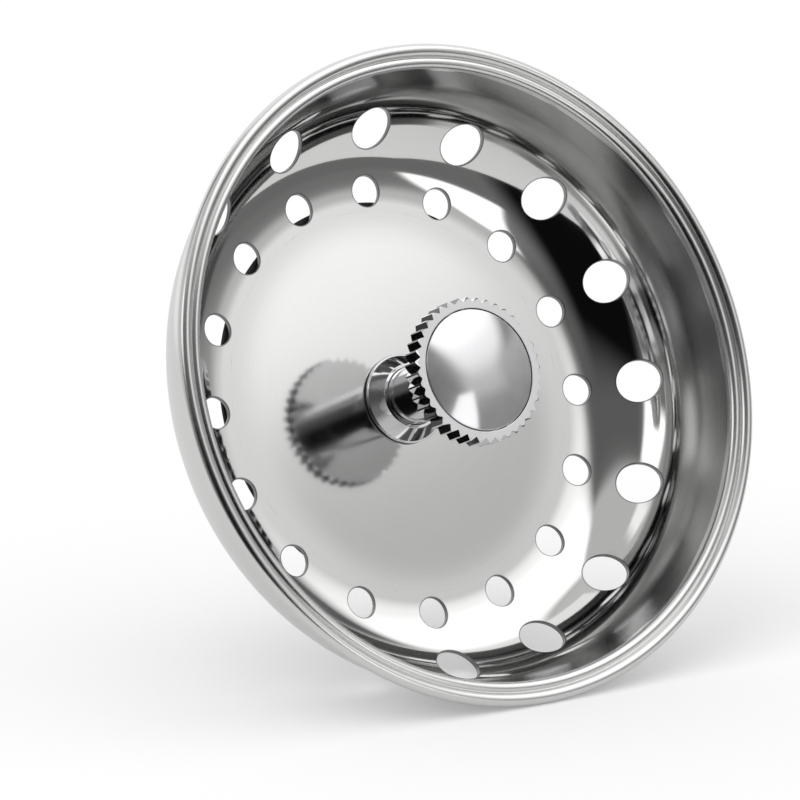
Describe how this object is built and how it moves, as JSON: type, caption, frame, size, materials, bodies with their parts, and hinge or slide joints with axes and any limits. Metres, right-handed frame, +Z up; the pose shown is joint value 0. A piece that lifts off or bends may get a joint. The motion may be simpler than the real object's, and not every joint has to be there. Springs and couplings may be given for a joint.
{
  "type": "sink strainer",
  "caption": "Round pressed-steel basket strainer for a kitchen sink drain, pierced round its floor and corner, with a knurled knob on a stem that lifts and lowers a rubber stopper.",
  "frame": {"origin": "centre of the rubber stopper's flat underside, with the stopper drawn up against the basket's floor", "axes": "+Z up the strainer's axis, from the stopper to the knob; +X through the middle of one small and one large hole"},
  "size_m": [0.082, 0.082, 0.0332],
  "materials": {
    "polished_steel": "mirror polished floor, corner and rim, with a satin wall",
    "chromed_brass": "bright chrome plate",
    "plain_steel": "plain turned and stamped steel",
    "black_rubber": "matt moulded rubber",
    "acetal": "moulded natural acetal"
  },
  "bodies": {
    "basket": {"basket_shell": "polished_steel", "collar_seal": "black_rubber", "collar": "chromed_brass", "collar_lock_washer": "plain_steel", "collar_nut": "plain_steel", "friction_ring": "black_rubber"},
    "stopper": {"rubber_stopper": "black_rubber", "stopper_hub": "acetal", "backing_plate": "plain_steel"},
    "knob": {"stem": "chromed_brass", "knob": "chromed_brass", "knob_cap": "chromed_brass", "knob_screw": "plain_steel", "stem_washer": "plain_steel", "spring_washer": "plain_steel", "stem_nut": "plain_steel"}
  },
  "joints": [
    {"name": "stopper_lift", "type": "slide", "parent": "basket", "child": "stopper", "axis": [0, 0, 1], "range_m": [-0.012, 0]},
    {"name": "knob_turn", "type": "hinge", "parent": "stopper", "child": "knob", "pos_m": [0, 0, 0.008], "axis": [0, 0, 1], "continuous": true}
  ]
}
